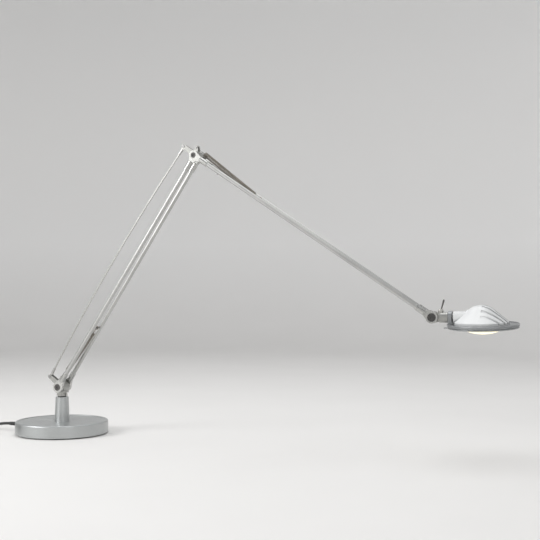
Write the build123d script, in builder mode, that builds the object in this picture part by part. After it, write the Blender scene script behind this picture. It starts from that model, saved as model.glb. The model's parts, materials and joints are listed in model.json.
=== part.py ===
from build123d import *

import os
from math import acos, asin, atan2, cos, degrees, hypot, pi, radians, sin, sqrt, tan

# A spring-balanced two-arm desk lamp, in millimetres.
# +X points from the stem to the lamp head, +Y away from the viewer, +Z up.
# The origin is the middle of the foot's underside, on the axis that the arms swivel about.

# ---------------------------------------------------------------- fits
running_gap = 0.05      # radial play of a shaft that turns in its bore
seat_gap = 0.05         # radial play of a piece that is fixed in its seat
side_gap = 0.3          # between parts that move past each other
wall_play = 0.3         # between a cover and what it is put over

# ---------------------------------------------------------------- base
base_radius = 82.5
base_height = 23.5
base_wall = 3.0
base_roof = 3.2
base_edge_round = 2.4
base_foot_bevel = 0.8
border_width = 7.0
border_step = 0.7
groove_width = 2.4
groove_depth = 0.9
pad_thickness = 1.6
pad_inset = 5.5
plate_thickness = 2.0
weight_height = 12.5
weight_bevel = 1.0
weight_screw_inset = 29.2    # of the screws' circle inside the ballast's rim
screw_radius = 2.0
screw_head_radius = 3.8
screw_head_height = 1.6
base_screw_count = 3
base_screw_start = 0.0
screw_boss_wall = 2.0
transformer_length = 46.0
transformer_width = 36.0
transformer_height = 12.2
transformer_inset = 10.2     # of its outer end inside the ballast's rim
transformer_corner = 2.0

# ---------------------------------------------------------------- stem and swivel
stem_foot_radius = 13.3
stem_top_radius = 11.5
stem_top = 66.0
stem_bore_radius = 7.0
stem_edge_bevel = 0.6
spigot_radius = 8.0
nut_flats = 24.0
nut_height = 5.0
nut_lift = 1.0               # of the nut above the bottom plate
bush_flange_radius = 7.8
bush_flange_height = 1.3
bush_length = 24.0
spindle_radius = 4.5
clip_radius = 6.2
clip_thickness = 1.2
neck_radius = 7.8
stop_pin_radius = 1.3
stop_pin_distance = 9.7
stop_pin_rise = 7.0
stop_pin_depth = 6.0
stop_lug_reach = 10.6
stop_lug_width = 3.0
stop_lug_height = 5.0

# ---------------------------------------------------------------- arms
hub_height = 84.2
lower_length = 486.0
upper_length = 490.0
lower_slope = 56.5
upper_slope = -33.9
tube_radius = 3.6
tube_wall = 1.0
lower_spread_hub = 13.1      # from the middle plane to the axis of a tube
lower_spread_elbow = 10.2
upper_spread_elbow = 12.4
upper_spread_head = 11.4
socket_radius = 4.8
socket_start = 12.5
socket_length = 17.0
socket_floor = 3.0
socket_bevel = 0.7
stud_distance = 55.0         # of the stud under the near upper tube, from the elbow
stud_radius = 1.6
stud_rise = 1.2

# ---------------------------------------------------------------- pivots
hub_half_width = 9.3
hub_body_radius = 10.4
hub_eye_radius = 9.5
hub_eye_width = 6.6
hub_axle_radius = 4.0
hub_recess_radius = 6.2
elbow_half_width = 6.6
elbow_body_radius = 8.4
elbow_eye_radius = 7.8
elbow_eye_width = 4.4
elbow_axle_radius = 3.5
elbow_recess_radius = 4.9
head_half_width = 6.6
head_body_radius = 8.8
head_eye_radius = 9.4
head_eye_width = 5.4
head_axle_radius = 4.0
head_recess_radius = 6.9
recess_depth = 2.8
cap_thickness = 2.2
cap_screw_radius = 2.0
cap_screw_length = 6.0
socket_hex_flats = 4.0
socket_hex_depth = 1.5

# ---------------------------------------------------------------- tie rod and its levers
tie_lever_length = 30.0
tie_lever_slope = 143.0
tie_lever_root = 5.0
tie_lever_tip = 3.2
tie_lever_half_width = 4.9
tie_slot_half_width = 2.4
tie_slot_start = 13.0
tie_pin_radius = 1.3
tie_pin_head = 2.2
tie_pin_head_height = 0.9
tie_rod_radius = 1.4
tie_rod_bow = 7.7
rod_end_length = 17.0
rod_end_radius = 2.2
rod_end_reach = 5.5
rod_eye_radius = 3.1
open_pin_gap = 0.35          # the play of the one pin that closes the parallelogram

# ---------------------------------------------------------------- springs
hub_spring_lever = 15.0
elbow_spring_lever = 14.5
spring_ear_tip = 3.3
spring_ear_root = 4.2
spring_ear_half_width = 4.8
spring_slot_half_width = 1.8
spring_slot_start = 6.6
spring_pin_radius = 1.2
spring_pin_head = 1.9
lower_anchor = 129.0
upper_anchor = 140.0
anchor_pin_radius = 2.0
spring_radius = 3.6          # of the middle of the wire
spring_wire = 1.5
spring_turns = 18
spring_wire_sides = 4
spring_lead = 19.0           # from the lever's pin to the first turn
spring_tail = 13.0           # from the last turn to the anchor pin
plug_gap = 0.3
plug_length = 6.0
pull_wire_radius = 0.8
pull_loop_radius = 4.3

# ---------------------------------------------------------------- head
head_nose_up = 0.8
head_roll = 3.6
neck_start = 10.4
neck_end = 24.6
neck_outer_radius = 8.5
neck_bevel = 0.8
cheek_height = 14.0          # of the block between the pivot and the neck
cheek_overlap = 2.0
spigot_end = 1.0             # what stands past the clip
roll_spigot_radius = 5.0
roll_clip_radius = 6.6
roll_clip_thickness = 1.5
switch_distance = 12.5
switch_tilt = 16.0
switch_bush_radius = 3.2
switch_bush_rise = 4.6
switch_bush_depth = 5.0
switch_mouth_radius = 2.6
switch_mouth_taper = 6.0
switch_seat = 1.0            # how deep the nut's flat is cut into the neck
switch_nut_flats = 8.0
switch_nut_height = 2.2
switch_flat_radius = 5.0
toggle_ball_radius = 1.8
toggle_root_radius = 0.9
toggle_tip_radius = 1.5
toggle_length = 19.0
plate_centre = 77.2
plate_radius = 55.0
plate_top = -11.2
plate_deck = 2.6
shadow_gap_height = 1.5
shadow_gap_depth = 2.2
frame_height = 2.1
window_radius = 27.4
rim_rise = 1.3
rim_width = 1.9
rim_bevel = 0.5
frame_bevel = 1.1
collar_thickness = 5.6
collar_radius = 10.0
dome_height = 29.9
dome_foot_radius = 39.5
dome_crown_radius = 24.0
dome_skirt = 4.0
dome_wall = 1.6
fin_root = 0.4               # how deep the grooves are at the crown
fin_setback = 4.8            # of the grooves' floor, which makes them deep at the front
fin_pitch = 9.2
fin_gap = 3.9
fin_gap_count = 7
fin_foot = 1.0               # of the plain ring under the fins
tunnel_start = 33.4
tunnel_radius = 12.0
tunnel_bore_radius = 7.0
tunnel_top = 9.0
lens_flange = 1.6
lens_side = 3.8
lens_crown = 5.0
lens_glass = 2.2
reflector_wall = 0.8
reflector_top_radius = 8.5
reflector_height = 17.0
reflector_steps = 5
bulb_radius = 4.8
bulb_round = 3.8
bulb_length = 15.0
bulb_pin_radius = 0.5
bulb_pin_spacing = 6.3
bulb_pin_length = 5.0
holder_height = 6.0
tab_width = 9.0
tab_reach = 5.0
tab_thickness = 1.4
tab_corner = 1.5

# ---------------------------------------------------------------- cord
cord_radius = 2.6
cord_sides = 8               # of the wound tube's section, inscribed in the round cord
cord_exit_height = 12.3
relief_length = 30.0
relief_radius = 4.3
relief_tip_radius = 3.1
relief_groove_count = 5
relief_groove_depth = 0.5
relief_flange_radius = 6.4
relief_flange_thickness = 2.0
coil_turns = 8.5
coil_layers = 4
coil_outer_radius = 36.2      # of the cord's middle line
coil_step = 5.8              # from one turn to the next beside it
coil_layer_rise = 5.75
cord_rest_height = 2.7       # of the cord's middle where it lies on the table
coil_centre = (-216.0, -37.2)
plug_pin_radius = 2.0
plug_pin_length = 19.0
plug_pin_spacing = 18.6
plug_length_over = 33.0
plug_width = 35.0
plug_thickness = 13.5
plug_neck_length = 9.0
plug_neck_radius = 4.4
plug_shoulder = 11.0
plug_taper = 14.0
plug_bevel = 1.2
plug_seat = 10.0             # how deep a pin stands in the plug

# The free stretches of the cord, as points chosen by hand: from the strain relief to the coil,
# and from the coil to the plug.
cord_route = [
    (-112.5, 0.0, 12.3),
    (-124.0, 0.0, 12.3),
    (-146.0, 0.9, 8.2),
    (-170.0, 0.5, 3.4),
    (-192.0, -1.0, 2.7),
    (-210.8, -1.0, 2.7),
]
plug_route = [
    (-210.8, -73.4, 19.95),
    (-197.0, -73.4, 19.95),
    (-179.0, -74.4, 12.4),
    (-162.0, -73.4, 6.75),
    (-148.0, -73.4, 6.75),
]


# ================================================================ frames
near, far = 1, -1            # the near side of the lamp faces the viewer


def sloped(origin, slope):
    """The lamp's middle plane seen from the near side, with x along a direction of the given slope."""
    angle = radians(slope)
    return Plane(origin=origin, x_dir=(cos(angle), 0, sin(angle)), z_dir=(0, -1, 0))


def at(frame, x, z, y=0.0):
    """The point x along a frame, z across it and y behind the middle plane."""
    return frame.from_local_coords(Vector(x, z, -y))


hub = Vector(0, 0, hub_height)
hub_level = sloped(hub, 0)
lower = sloped(hub, lower_slope)
elbow = at(lower, lower_length, 0)
elbow_level = sloped(elbow, 0)
lower_back = sloped(elbow, lower_slope + 180)
upper = sloped(elbow, upper_slope)
wrist = at(upper, upper_length, 0)
upper_back = sloped(wrist, upper_slope + 180)
head = Plane(wrist).rotated((head_roll, -head_nose_up, 0))
head_side = Plane(origin=wrist, x_dir=head.x_dir, z_dir=-head.y_dir)
hub_tie_frame = sloped(hub, tie_lever_slope)
hub_ear_frame = sloped(hub, 90)
elbow_tie_frame = sloped(elbow, tie_lever_slope)
elbow_ear_frame = sloped(elbow, 90)


# ================================================================ base
shell_bottom = pad_thickness
roof_under = base_height - base_roof
plate_top_face = shell_bottom + plate_thickness
weight_top = plate_top_face + weight_height
border_radius = base_radius - border_width
weight_radius = base_radius - base_wall - wall_play
plate_outer_radius = weight_radius
nut_top = plate_top_face + nut_height + nut_lift
boss_radius = screw_radius + screw_boss_wall
weight_screw_radius = weight_radius - weight_screw_inset
transformer_distance = weight_radius - transformer_inset - transformer_length / 2

with BuildPart() as base_shell:
    with BuildSketch(Plane.XZ):
        with BuildLine():
            Polyline(
                (0, roof_under),
                (base_radius - base_wall, roof_under),
                (base_radius - base_wall, shell_bottom),
                (base_radius, shell_bottom),
                (base_radius, base_height),
                (border_radius, base_height),
                (border_radius, base_height - border_step),
                (0, base_height - border_step),
                close=True,
            )
        make_face()
    revolve(axis=Axis.Z)
    outer_edges = base_shell.edges().filter_by(GeomType.CIRCLE).filter_by(
        lambda edge: abs(edge.radius - base_radius) < running_gap
    )
    fillet(outer_edges.sort_by(Axis.Z)[-1], base_edge_round)
    chamfer(outer_edges.sort_by(Axis.Z)[0], base_foot_bevel)
    with BuildSketch(Plane.XY.offset(base_height)):
        with Locations((-(stem_foot_radius + border_radius + border_width / 2) / 2, 0)):
            Rectangle(border_radius + border_width / 2 - stem_foot_radius, groove_width)
    extrude(amount=-(border_step + groove_depth), mode=Mode.SUBTRACT)
    with BuildSketch(Plane.XY.offset(weight_top)):
        with PolarLocations(weight_screw_radius, base_screw_count, base_screw_start):
            Circle(boss_radius)
    extrude(until=Until.NEXT)
    with BuildSketch(Plane.XY.offset(weight_top)):
        with PolarLocations(weight_screw_radius, base_screw_count, base_screw_start):
            Circle(screw_radius + seat_gap)
    extrude(amount=roof_under - weight_top + 1, mode=Mode.SUBTRACT)
    with BuildSketch(Plane.XY.offset(roof_under)):
        Circle(spigot_radius + seat_gap)
    extrude(amount=base_roof, mode=Mode.SUBTRACT)
    with BuildSketch(Plane(origin=(0, 0, cord_exit_height), x_dir=(0, 1, 0), z_dir=(-1, 0, 0))):
        Circle(relief_radius + seat_gap)
    extrude(amount=base_radius, mode=Mode.SUBTRACT)

with BuildPart() as base_plate:
    with BuildSketch(Plane.XY.offset(shell_bottom)):
        Circle(plate_outer_radius)
        with PolarLocations(weight_screw_radius, base_screw_count, base_screw_start):
            Circle(screw_radius + seat_gap, mode=Mode.SUBTRACT)
    extrude(amount=plate_thickness)

with BuildPart() as foot_pad:
    with BuildSketch():
        Circle(base_radius - pad_inset)
        with PolarLocations(weight_screw_radius, base_screw_count, base_screw_start):
            Circle(screw_head_radius + wall_play, mode=Mode.SUBTRACT)
    extrude(amount=pad_thickness)

cord_channel = relief_flange_radius + wall_play
with BuildPart() as base_weight:
    with BuildSketch(Plane.XY.offset(plate_top_face)):
        Circle(weight_radius)
        Circle(spigot_radius + wall_play, mode=Mode.SUBTRACT)
        with PolarLocations(weight_screw_radius, base_screw_count, base_screw_start):
            Circle(screw_radius + wall_play, mode=Mode.SUBTRACT)
        with Locations((-transformer_distance, 0)):
            Rectangle(transformer_length + 2 * seat_gap, transformer_width + 2 * seat_gap, mode=Mode.SUBTRACT)
        with Locations((-(transformer_distance + base_radius) / 2, 0)):
            Rectangle(base_radius - transformer_distance, 2 * cord_channel, mode=Mode.SUBTRACT)
    extrude(amount=weight_height)
    with BuildSketch(Plane.XY.offset(plate_top_face)):
        RegularPolygon(nut_flats / 2 + wall_play, 6, major_radius=False)
    extrude(amount=nut_top - plate_top_face, mode=Mode.SUBTRACT)
    chamfer(base_weight.edges().group_by(Axis.Z)[-1].sort_by(SortBy.LENGTH)[-1], weight_bevel)

with BuildPart() as transformer:
    with BuildSketch(Plane.XY.offset(plate_top_face)):
        with Locations((-transformer_distance, 0)):
            RectangleRounded(transformer_length, transformer_width, transformer_corner)
    extrude(amount=transformer_height)
    chamfer(transformer.edges().group_by(Axis.Z)[-1], transformer_corner / 2)

screw_top = roof_under - running_gap
with BuildPart() as base_screws:
    with PolarLocations(weight_screw_radius, base_screw_count, base_screw_start):
        with Locations((0, 0, shell_bottom)):
            Cylinder(screw_radius, screw_top - shell_bottom, align=(Align.CENTER, Align.CENTER, Align.MIN))
            Cone(
                screw_head_radius, screw_head_radius - screw_radius / 2, screw_head_height / 2,
                align=(Align.CENTER, Align.CENTER, Align.MAX),
            )

with BuildPart() as stem:
    with BuildSketch(Plane.XZ):
        with BuildLine():
            Polyline(
                (stem_bore_radius, base_height - border_step),
                (stem_foot_radius, base_height - border_step),
                (stem_top_radius, stem_top),
                (stem_bore_radius, stem_top),
                close=True,
            )
        make_face()
    revolve(axis=Axis.Z)
    top_rim = stem.edges().group_by(Axis.Z)[-1].sort_by(SortBy.LENGTH)[-1]
    chamfer(top_rim, stem_edge_bevel)
    with BuildSketch(Plane.XY.offset(nut_top + nut_height)):
        Circle(spigot_radius)
        Circle(stem_bore_radius, mode=Mode.SUBTRACT)
    extrude(amount=base_height - nut_top - nut_height)
    with BuildSketch(Plane.XY.offset(nut_top - nut_height)):
        Circle(spigot_radius)
        Circle(stem_bore_radius, mode=Mode.SUBTRACT)
    extrude(amount=2 * nut_height)
    with BuildSketch(Plane.XY.offset(stem_top)):
        with Locations((stop_pin_distance, 0)):
            Circle(stop_pin_radius + seat_gap / 2)
    extrude(amount=-stop_pin_depth, mode=Mode.SUBTRACT)

with BuildPart() as stem_nut:
    with BuildSketch(Plane.XY.offset(nut_top - nut_height)):
        RegularPolygon(nut_flats / 2, 6, major_radius=False)
        Circle(spigot_radius + seat_gap, mode=Mode.SUBTRACT)
    extrude(amount=nut_height)

with BuildPart() as swivel_bush:
    with BuildSketch(Plane.XY.offset(stem_top - bush_length)):
        Circle(stem_bore_radius - seat_gap)
    extrude(amount=bush_length)
    with BuildSketch(Plane.XY.offset(stem_top)):
        Circle(bush_flange_radius)
    extrude(amount=bush_flange_height)
    with BuildSketch(Plane.XY.offset(stem_top - bush_length)):
        Circle(spindle_radius + running_gap)
    extrude(amount=bush_length + bush_flange_height, mode=Mode.SUBTRACT)

with BuildPart() as stop_pin:
    with BuildSketch(Plane.XY.offset(stem_top - stop_pin_depth)):
        with Locations((stop_pin_distance, 0)):
            Circle(stop_pin_radius)
    extrude(amount=stop_pin_depth + stop_pin_rise)
    chamfer(stop_pin.edges().group_by(Axis.Z)[-1], stop_pin_radius / 3)


# ================================================================ levers, eyes and axles
def lever_outline(frame, length, root, tip):
    """A bar that narrows from a root on the pivot to a rounded tip."""
    with BuildSketch(frame) as outline:
        with BuildLine():
            Polyline((0, -root), (length, -tip), (length, tip), (0, root), close=True)
        make_face()
        with Locations((length, 0)):
            Circle(tip)
    return outline.sketch


def lever(frame, length, root, tip, half_width):
    """A lever across the middle plane, x along the frame."""
    with BuildPart() as bar:
        extrude(lever_outline(frame, length, root, tip), amount=half_width, both=True)
    return bar.part


def lever_fork(frame, length, tip, half_width, slot_half_width, slot_start, pin_radius):
    """What a lever loses: the slot for the piece that its pin holds, and the pin's hole."""
    with BuildPart() as fork:
        with BuildSketch(frame):
            with Locations(((slot_start + length + 2 * tip) / 2, 0)):
                Rectangle(length + 2 * tip - slot_start, 4 * tip)
        extrude(amount=slot_half_width, both=True)
        with BuildSketch(frame):
            with Locations((length, 0)):
                Circle(pin_radius + seat_gap / 2)
        extrude(amount=half_width + seat_gap, both=True)
    return fork.part


def cross_pin(frame, x, radius, half_width, head_radius, head_height):
    """A pin square to the middle plane, with a head at both ends."""
    with BuildPart() as pin:
        with BuildSketch(frame):
            with Locations((x, 0)):
                Circle(radius)
        extrude(amount=half_width + head_height, both=True)
        for side in (near, far):
            with BuildSketch(frame.offset(side * half_width)):
                with Locations((x, 0)):
                    Circle(head_radius)
            extrude(amount=side * head_height)
    return pin.part


def axle(frame, radius, half_length):
    """A pivot shaft across the middle plane, threaded at both ends for the cap screws."""
    with BuildPart() as shaft:
        with BuildSketch(frame):
            Circle(radius)
        extrude(amount=half_length, both=True)
        for side in (near, far):
            with BuildSketch(frame.offset(side * half_length)):
                Circle(cap_screw_radius + seat_gap)
            extrude(amount=-side * (cap_screw_length + seat_gap), mode=Mode.SUBTRACT)
    return shaft


def cap_screws(frame, head_radius, half_length):
    """The two socket screws that close a pivot, one on each side."""
    with BuildPart() as screws:
        for side in (near, far):
            with BuildSketch(frame.offset(side * half_length)):
                Circle(head_radius)
            extrude(amount=side * cap_thickness)
            with BuildSketch(frame.offset(side * half_length)):
                Circle(cap_screw_radius)
            extrude(amount=-side * cap_screw_length)
            with BuildSketch(frame.offset(side * (half_length + cap_thickness))):
                RegularPolygon(socket_hex_flats / 2, 6, major_radius=False)
            extrude(amount=-side * socket_hex_depth, mode=Mode.SUBTRACT)
    return screws


def arm_end(frame, side, inner, width, radius, bore, recess, spread, far_spread, length):
    """The casting at one end of one tube: an eye on the pivot, a blade and a socket round the tube."""
    start = at(frame, 0, 0, -side * spread)
    stop = at(frame, length, 0, -side * far_spread)
    line = (stop - start).normalized()
    with BuildPart() as end:
        with BuildSketch(Plane(origin=start + line * socket_start, z_dir=line)):
            Circle(socket_radius)
        extrude(amount=socket_length)
        chamfer(end.edges().filter_by(GeomType.CIRCLE), socket_bevel)
        with BuildSketch(frame.offset(side * inner)):
            Circle(radius)
            with BuildLine():
                Polyline(
                    (0, -radius), (socket_start + socket_floor, -socket_radius + socket_bevel),
                    (socket_start + socket_floor, socket_radius - socket_bevel), (0, radius),
                    close=True,
                )
            make_face()
        extrude(amount=side * width)
        with BuildSketch(Plane(origin=start + line * (socket_start + socket_floor), z_dir=line)):
            Circle(tube_radius + seat_gap)
        extrude(amount=socket_length, mode=Mode.SUBTRACT)
        with BuildSketch(frame.offset(side * inner)):
            Circle(bore + running_gap)
        extrude(amount=side * width, mode=Mode.SUBTRACT)
        if recess:
            with BuildSketch(frame.offset(side * (inner + width))):
                Circle(recess)
            extrude(amount=-side * recess_depth, mode=Mode.SUBTRACT)
    return end


def arm_tube(frame, side, length, spread, far_spread, anchor, stud=None):
    """One tube of an arm, drilled on its inner side for the spring's anchor pin, with a stud below it."""
    start = at(frame, 0, 0, -side * spread)
    stop = at(frame, length, 0, -side * far_spread)
    line = (stop - start).normalized()
    first = socket_start + socket_floor
    with BuildPart() as tube:
        with BuildSketch(Plane(origin=start + line * first, z_dir=line)):
            Circle(tube_radius)
            Circle(tube_radius - tube_wall, mode=Mode.SUBTRACT)
        extrude(amount=(stop - start).length - 2 * first)
        with BuildSketch(frame):
            with Locations((anchor, 0)):
                Circle(anchor_pin_radius + seat_gap)
        extrude(amount=side * spread_at(anchor, length, spread, far_spread), mode=Mode.SUBTRACT)
        if stud:
            inside = tube_wall / 2 - tube_radius
            root = at(frame, stud, inside, -side * spread_at(stud, length, spread, far_spread))
            with BuildSketch(Plane(origin=root, z_dir=-frame.y_dir)):
                Circle(stud_radius)
            extrude(amount=stud_rise + tube_wall / 2)
    return tube


def spread_at(x, length, spread, far_spread):
    """How far a tube's axis is from the middle plane, x along its arm."""
    return spread + (far_spread - spread) * x / length


# ================================================================ swivel head
neck_bottom = stem_top + bush_flange_height + side_gap
pin_clear = stem_top + stop_pin_rise + side_gap
hub_axle_half = hub_half_width + side_gap + hub_eye_width - recess_depth + side_gap
spindle_bottom = stem_top - bush_length - side_gap - clip_thickness - 1

with BuildPart() as swivel_head:
    with BuildSketch(hub_level):
        Circle(hub_body_radius)
        with Locations((0, (pin_clear - hub_height) / 2)):
            Rectangle(2 * neck_radius, hub_height - pin_clear)
    extrude(amount=hub_half_width, both=True)
    add(lever(hub_tie_frame, tie_lever_length, tie_lever_root, tie_lever_tip, tie_lever_half_width))
    add(lever(hub_ear_frame, hub_spring_lever, spring_ear_root, spring_ear_tip, spring_ear_half_width))
    add(
        lever_fork(
            hub_tie_frame, tie_lever_length, tie_lever_tip, tie_lever_half_width,
            tie_slot_half_width, tie_slot_start, tie_pin_radius,
        ),
        mode=Mode.SUBTRACT,
    )
    add(
        lever_fork(
            hub_ear_frame, hub_spring_lever, spring_ear_tip, spring_ear_half_width,
            spring_slot_half_width, spring_slot_start, spring_pin_radius,
        ),
        mode=Mode.SUBTRACT,
    )
    with BuildSketch(Plane.XY.offset(neck_bottom)):
        Circle(neck_radius)
    extrude(amount=pin_clear - neck_bottom)
    with BuildSketch(Plane.XY.offset(neck_bottom)):
        with Locations((-stop_lug_reach / 2, 0)):
            Rectangle(stop_lug_reach, stop_lug_width)
    extrude(amount=stop_lug_height)
    with BuildSketch(Plane.XY.offset(neck_bottom)):
        Circle(spindle_radius)
    extrude(amount=spindle_bottom - neck_bottom)
    with BuildSketch(hub_level):
        Circle(hub_axle_radius + seat_gap)
    extrude(amount=hub_half_width, both=True, mode=Mode.SUBTRACT)

with BuildPart() as swivel_clip:
    with BuildSketch(Plane.XY.offset(stem_top - bush_length - side_gap - clip_thickness)):
        Circle(clip_radius)
        Circle(spindle_radius + seat_gap, mode=Mode.SUBTRACT)
    extrude(amount=clip_thickness)

hub_axle = axle(hub_level, hub_axle_radius, hub_axle_half)
hub_cap_screws = cap_screws(hub_level, hub_recess_radius - side_gap, hub_axle_half)
with BuildPart() as base_lever_pins:
    add(cross_pin(
        hub_tie_frame, tie_lever_length, tie_pin_radius,
        tie_lever_half_width, tie_pin_head, tie_pin_head_height,
    ))
    add(cross_pin(
        hub_ear_frame, hub_spring_lever, spring_pin_radius, spring_ear_half_width,
        spring_pin_head, tie_pin_head_height,
    ))

# ================================================================ lower arm
elbow_lower_inner = elbow_half_width + side_gap
elbow_upper_inner = elbow_lower_inner + elbow_eye_width + side_gap
lower_ends, lower_tubes = {}, {}
for side in (near, far):
    lower_ends["hub", side] = arm_end(
        lower, side, hub_half_width + side_gap, hub_eye_width, hub_eye_radius, hub_axle_radius,
        hub_recess_radius, lower_spread_hub, lower_spread_elbow, lower_length,
    )
    lower_ends["elbow", side] = arm_end(
        lower_back, side, elbow_lower_inner, elbow_eye_width, elbow_body_radius, elbow_axle_radius,
        None, lower_spread_elbow, lower_spread_hub, lower_length,
    )
    lower_tubes[side] = arm_tube(
        lower, side, lower_length, lower_spread_hub, lower_spread_elbow, lower_anchor,
    )


def anchor_pin(frame, x, half_width):
    """The plain pin between the two tubes that a spring pulls on."""
    with BuildPart() as pin:
        with BuildSketch(frame):
            with Locations((x, 0)):
                Circle(anchor_pin_radius)
        extrude(amount=half_width - tube_wall, both=True)
    return pin


lower_anchor_pin = anchor_pin(
    lower, lower_anchor, spread_at(lower_anchor, lower_length, lower_spread_hub, lower_spread_elbow)
)

# ================================================================ tie rod
tie_low = at(hub_tie_frame, tie_lever_length, 0)
tie_high = at(elbow_tie_frame, tie_lever_length, 0)
rod_lean = degrees(atan2(4 * tie_rod_bow, lower_length))


def rod_end(origin, slope, hole_radius):
    """The flattened eye that carries one end of the tie rod."""
    frame = sloped(origin, slope)
    with BuildPart() as end:
        with BuildSketch(frame):
            Circle(rod_eye_radius)
            with Locations((rod_end_reach / 2, 0)):
                Rectangle(rod_end_reach, 2 * rod_end_radius)
        extrude(amount=tie_slot_half_width - side_gap, both=True)
        with BuildSketch(Plane(origin=at(frame, rod_end_reach, 0), z_dir=frame.x_dir)):
            Circle(rod_end_radius)
        extrude(amount=rod_end_length - rod_end_reach)
        with BuildSketch(Plane(origin=at(frame, rod_end_reach, 0), z_dir=frame.x_dir)):
            Circle(tie_rod_radius + seat_gap)
        extrude(amount=rod_end_length, mode=Mode.SUBTRACT)
        with BuildSketch(frame):
            Circle(hole_radius)
        extrude(amount=rod_eye_radius, both=True, mode=Mode.SUBTRACT)
    return end.part


with BuildPart() as tie_rod_ends:
    add(rod_end(tie_low, lower_slope + rod_lean, tie_pin_radius + running_gap))
    add(rod_end(tie_high, lower_slope + 180 - rod_lean, tie_pin_radius + open_pin_gap))
low_seat = at(sloped(tie_low, lower_slope + rod_lean), rod_end_reach, 0)
high_seat = at(sloped(tie_high, lower_slope + 180 - rod_lean), rod_end_reach, 0)
with BuildPart() as tie_rod:
    with BuildLine() as bow:
        TangentArc(low_seat, high_seat, tangent=sloped(tie_low, lower_slope + rod_lean).x_dir)
    with BuildSketch(Plane(origin=low_seat, z_dir=bow.line % 0)):
        Circle(tie_rod_radius)
    sweep()

# ================================================================ elbow
elbow_axle_half = elbow_upper_inner + elbow_eye_width - recess_depth + side_gap
with BuildPart() as elbow_crank:
    with BuildSketch(elbow_level):
        Circle(elbow_body_radius)
    extrude(amount=elbow_half_width, both=True)
    add(lever(elbow_tie_frame, tie_lever_length, tie_lever_root, tie_lever_tip, tie_lever_half_width))
    add(lever(elbow_ear_frame, elbow_spring_lever, spring_ear_root, spring_ear_tip, spring_ear_half_width))
    add(
        lever_fork(
            elbow_tie_frame, tie_lever_length, tie_lever_tip, tie_lever_half_width,
            tie_slot_half_width, tie_slot_start, tie_pin_radius,
        ),
        mode=Mode.SUBTRACT,
    )
    add(
        lever_fork(
            elbow_ear_frame, elbow_spring_lever, spring_ear_tip, spring_ear_half_width,
            spring_slot_half_width, spring_slot_start, spring_pin_radius,
        ),
        mode=Mode.SUBTRACT,
    )
    with BuildSketch(elbow_level):
        Circle(elbow_axle_radius + seat_gap)
    extrude(amount=elbow_half_width, both=True, mode=Mode.SUBTRACT)

elbow_axle = axle(elbow_level, elbow_axle_radius, elbow_axle_half)
elbow_cap_screws = cap_screws(elbow_level, elbow_recess_radius - side_gap, elbow_axle_half)
with BuildPart() as elbow_lever_pins:
    add(cross_pin(
        elbow_tie_frame, tie_lever_length, tie_pin_radius,
        tie_lever_half_width, tie_pin_head, tie_pin_head_height,
    ))
    add(cross_pin(
        elbow_ear_frame, elbow_spring_lever, spring_pin_radius, spring_ear_half_width,
        spring_pin_head, tie_pin_head_height,
    ))

# ================================================================ upper arm
head_inner = head_half_width + side_gap
upper_ends, upper_tubes = {}, {}
for side in (near, far):
    upper_ends["elbow", side] = arm_end(
        upper, side, elbow_upper_inner, elbow_eye_width, elbow_eye_radius, elbow_axle_radius,
        elbow_recess_radius, upper_spread_elbow, upper_spread_head, upper_length,
    )
    upper_ends["head", side] = arm_end(
        upper_back, side, head_inner, head_eye_width, head_eye_radius, head_axle_radius,
        head_recess_radius, upper_spread_head, upper_spread_elbow, upper_length,
    )
    upper_tubes[side] = arm_tube(
        upper, side, upper_length, upper_spread_elbow, upper_spread_head, upper_anchor,
        stud_distance if side == near else None,
    )
upper_anchor_pin = anchor_pin(
    upper, upper_anchor, spread_at(upper_anchor, upper_length, upper_spread_elbow, upper_spread_head)
)


# ================================================================ springs
def spring_frame(lever_pin, anchor):
    """The middle plane with x along a spring, from its anchor pin to the pin of its lever."""
    run = lever_pin - anchor
    return sloped(anchor, degrees(atan2(run.Z, run.X))), run.length


def biarcs(points, tangents):
    """A smooth wire through points with given tangents, two arcs from each point to the next."""
    with BuildLine() as wire:
        for first, last, leaving, arriving in zip(points, points[1:], tangents, tangents[1:]):
            run, turn = last - first, leaving + arriving
            bend = 2 * (1 - leaving.dot(arriving))
            reach = (sqrt(run.dot(turn) ** 2 + bend * run.dot(run)) - run.dot(turn)) / bend
            middle = (first + last + (leaving - arriving) * reach) * 0.5
            heading = (last - arriving * reach) - (first + leaving * reach)
            TangentArc(first, middle, tangent=leaving)
            TangentArc(middle, last, tangent=heading)
    return wire.wire()


def tube_along(path, start, heading, radius, sides):
    """One unbroken tube of polygon section along a path."""
    with BuildPart() as tube:
        with BuildSketch(Plane(origin=start, z_dir=heading)):
            RegularPolygon(radius, sides)
        sweep(path=path, clean=False)
    return tube


def coil_spring(frame, start, stop):
    """One unbroken wire wound about a frame's x axis, from start to stop."""
    rise = (stop - start) / spring_turns
    points, tangents = [], []
    for half in range(2 * spring_turns + 1):
        swing = pi * half
        points.append(at(frame, start + rise * half / 2, spring_radius * cos(swing), spring_radius * sin(swing)))
        heading = frame.x_dir * (rise / (2 * pi)) + Vector(0, 1, 0) * (spring_radius * cos(swing))
        tangents.append(heading.normalized())
    return tube_along(biarcs(points, tangents), points[0], tangents[0], spring_wire / 2, spring_wire_sides)


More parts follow.
